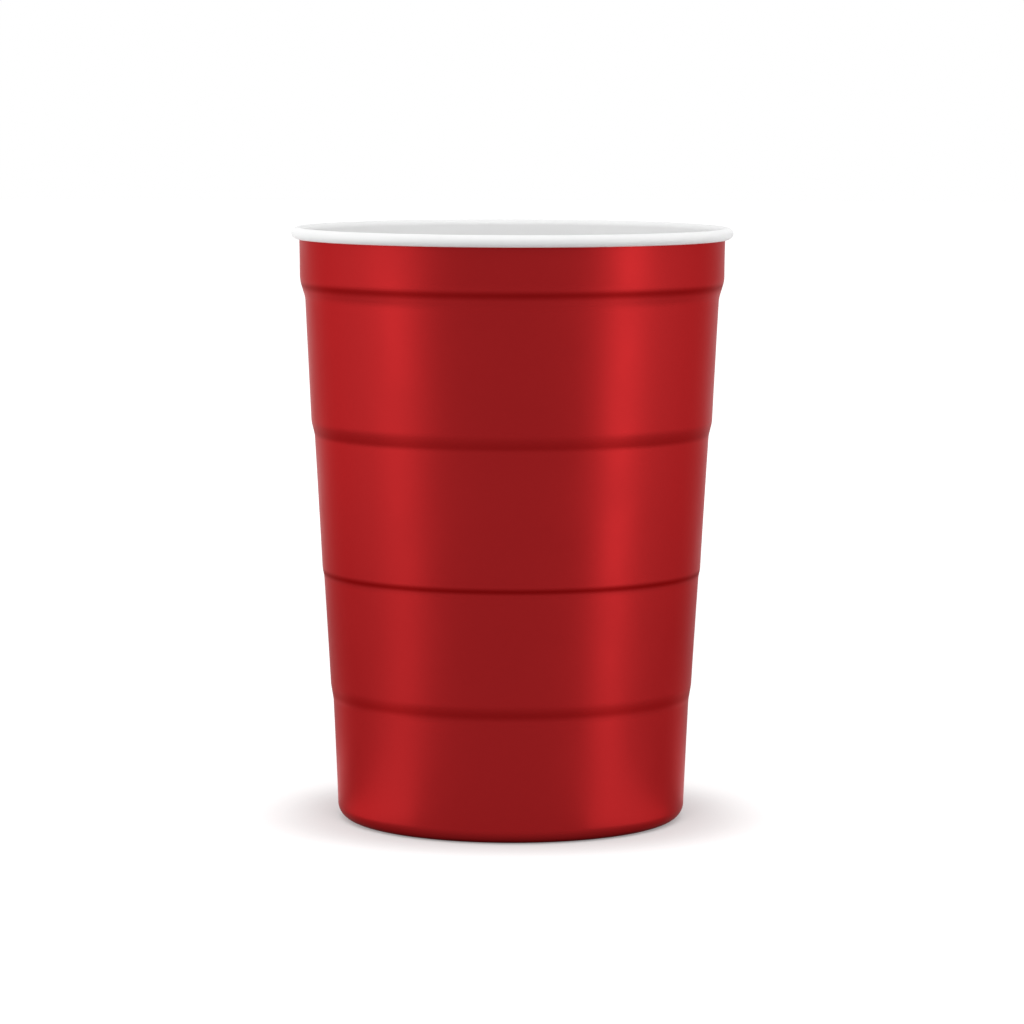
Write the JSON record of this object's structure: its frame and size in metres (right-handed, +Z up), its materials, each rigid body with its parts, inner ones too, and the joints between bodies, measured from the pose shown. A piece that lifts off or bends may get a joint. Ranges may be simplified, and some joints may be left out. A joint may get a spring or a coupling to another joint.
{
  "type": "steel cup",
  "caption": "Tall tapered steel drinking cup with a stepped wall, a plain collar under a rolled rim and a rounded foot, red outside and white inside.",
  "frame": {"origin": "centre of the foot ring's underside, on the cup's axis and on the surface that it stands on", "axes": "+Z up along the cup's axis, from the base to the rim; the cup is round, so +X and +Y are alike"},
  "size_m": [0.0892, 0.0892, 0.12],
  "materials": {
    "coated_steel": "satin"
  },
  "bodies": {
    "root": {"cup": "coated_steel"}
  },
  "joints": []
}
